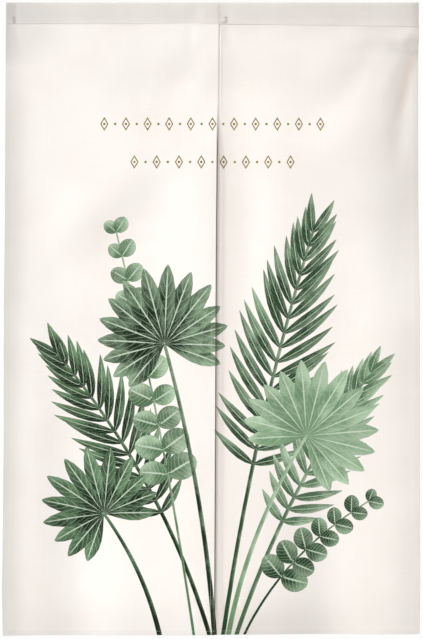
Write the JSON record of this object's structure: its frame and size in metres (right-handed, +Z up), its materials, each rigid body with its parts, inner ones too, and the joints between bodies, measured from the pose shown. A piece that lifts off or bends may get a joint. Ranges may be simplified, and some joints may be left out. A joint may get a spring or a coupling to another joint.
{
  "type": "noren curtain",
  "caption": "Doorway curtain of printed cloth: side-by-side panels lapped and sewn together at the top, open below, hanging from a rod pocket.",
  "frame": {"origin": "middle of the rod pocket's top edge, where a rod carries the curtain", "axes": "+X to the right of someone who faces the printed front, -Y towards them, +Z up"},
  "size_m": [0.7934, 0.0461, 1.2003],
  "materials": {
    "panel_cloth": "off-white plain-weave cloth, matt, printed with green sprays of leaves",
    "heading_cloth": "the same off-white plain-weave cloth doubled, matt and a little greyer"
  },
  "bodies": {
    "root": {"left_panel": "panel_cloth", "right_panel": "panel_cloth", "heading": "heading_cloth"}
  },
  "joints": []
}
